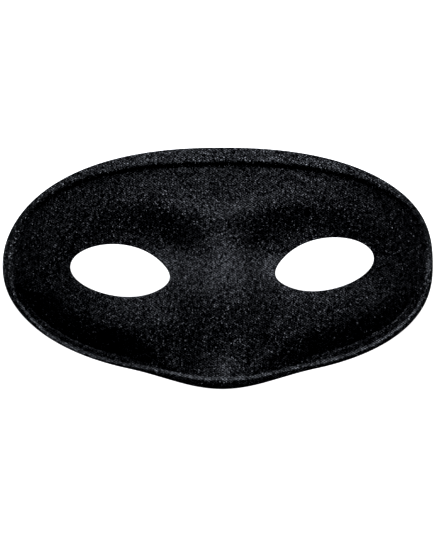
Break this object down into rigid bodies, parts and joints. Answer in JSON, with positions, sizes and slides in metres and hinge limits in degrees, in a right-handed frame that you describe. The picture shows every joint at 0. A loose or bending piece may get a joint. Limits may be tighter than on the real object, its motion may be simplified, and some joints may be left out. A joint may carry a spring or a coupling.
{
  "type": "eye mask",
  "caption": "Half mask in black satin on a stiff pressed backing: oval, arched round the face, with eye holes, a nose bridge and a beaded edge.",
  "frame": {"origin": "middle of the mask, on the surface it lies on: under the centre of its outline", "axes": "+X from temple to temple, towards the right side of the face as a viewer sees it; +Y from the nose edge to the brow edge; +Z out of the front of the mask, up as it lies on its back"},
  "size_m": [0.178, 0.099, 0.0417],
  "materials": {
    "black_satin": "woven black satin with a fine sparkle, bonded to the backing",
    "stiff_backing": "stiffened black felt, pressed to shape, matt"
  },
  "bodies": {
    "root": {"mask_shell": "black_satin"}
  },
  "joints": []
}
